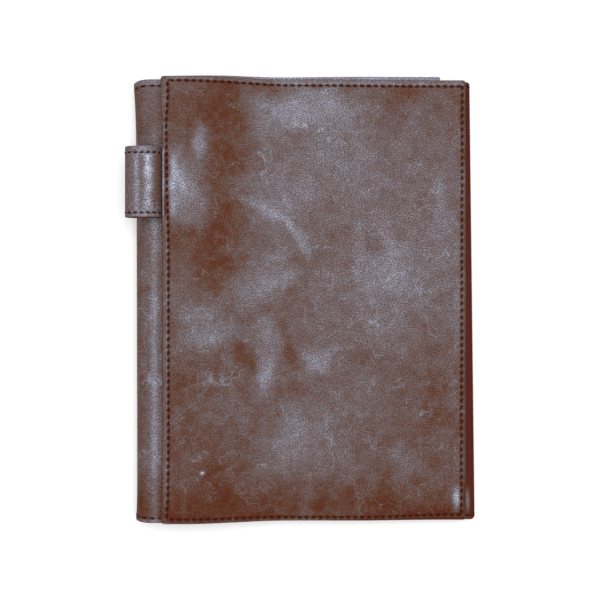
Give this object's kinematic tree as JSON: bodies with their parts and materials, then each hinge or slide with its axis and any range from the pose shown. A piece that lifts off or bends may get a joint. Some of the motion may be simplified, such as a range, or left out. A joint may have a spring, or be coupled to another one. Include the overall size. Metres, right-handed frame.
{
  "type": "leather notebook cover",
  "caption": "Closed leather notebook cover with a rolled spine, sewn-on front panel, turned-in back sleeve, loose inner leaf and a pen loop on the spine.",
  "frame": {"origin": "Centre of the closed cover's bounding box in plan, on the surface that its back lies on.", "axes": "+X from the spine roll to the fore edge, +Y up the cover along the spine towards its top, +Z out of the front cover."},
  "size_m": [0.1738, 0.2222, 0.0256],
  "materials": {
    "cover_leather": "waxed brown pull-up leather",
    "lining_leather": "matt split leather",
    "leaf_leather": "matt grey-brown leather",
    "waxed_thread": "waxed dark red-brown thread"
  },
  "bodies": {
    "back_cover": {"back_leather": "cover_leather", "back_lining": "lining_leather", "back_thread_top": "waxed_thread", "back_thread_bottom": "waxed_thread"},
    "spine_lower": {"spine_leather_lower": "cover_leather", "spine_lining_lower": "lining_leather", "spine_thread_lower_top": "waxed_thread", "spine_thread_lower_bottom": "waxed_thread"},
    "spine_middle": {"spine_leather_middle": "cover_leather", "spine_lining_middle": "lining_leather", "spine_thread_middle_top": "waxed_thread", "spine_thread_middle_bottom": "waxed_thread"},
    "spine_upper": {"spine_leather_upper": "cover_leather", "spine_lining_upper": "lining_leather", "spine_thread_upper_top": "waxed_thread", "spine_thread_upper_bottom": "waxed_thread"},
    "front_cover": {"front_panel": "cover_leather", "front_lining": "lining_leather", "front_thread": "waxed_thread", "spine_tab": "cover_leather", "tab_thread_top": "waxed_thread", "tab_thread_bottom": "waxed_thread", "pen_loop_band": "cover_leather", "pen_loop_lining": "lining_leather", "pen_loop_thread_top": "waxed_thread", "pen_loop_thread_bottom": "waxed_thread"},
    "leaf": {"insert_leaf": "leaf_leather"}
  },
  "joints": [
    {"name": "cover_opening", "type": "hinge", "parent": "back_cover", "child": "spine_lower", "pos_m": [-0.07736, 0, 0.00061], "axis": [0, -1, 0], "range_deg": [0, 45]},
    {"name": "spine_bend_middle", "type": "hinge", "parent": "spine_lower", "child": "spine_middle", "pos_m": [-0.08169, 0, 0.00494], "axis": [0, -1, 0], "range_deg": [0, 45]},
    {"name": "spine_bend_upper", "type": "hinge", "parent": "spine_middle", "child": "spine_upper", "pos_m": [-0.08169, 0, 0.01106], "axis": [0, -1, 0], "range_deg": [0, 45]},
    {"name": "front_cover_bend", "type": "hinge", "parent": "spine_upper", "child": "front_cover", "pos_m": [-0.07736, 0, 0.01539], "axis": [0, -1, 0], "range_deg": [0, 45]},
    {"name": "leaf_fan", "type": "hinge", "parent": "front_cover", "child": "leaf", "pos_m": [-0.06584, 0, 0.01335], "axis": [0, 1, 0], "range_deg": [0, 36]}
  ],
  "couplings": [
    {"joint": "spine_bend_middle", "follows": "cover_opening", "ratio": 1},
    {"joint": "spine_bend_upper", "follows": "cover_opening", "ratio": 1},
    {"joint": "front_cover_bend", "follows": "cover_opening", "ratio": 1},
    {"joint": "leaf_fan", "follows": "cover_opening", "ratio": 0.8}
  ]
}
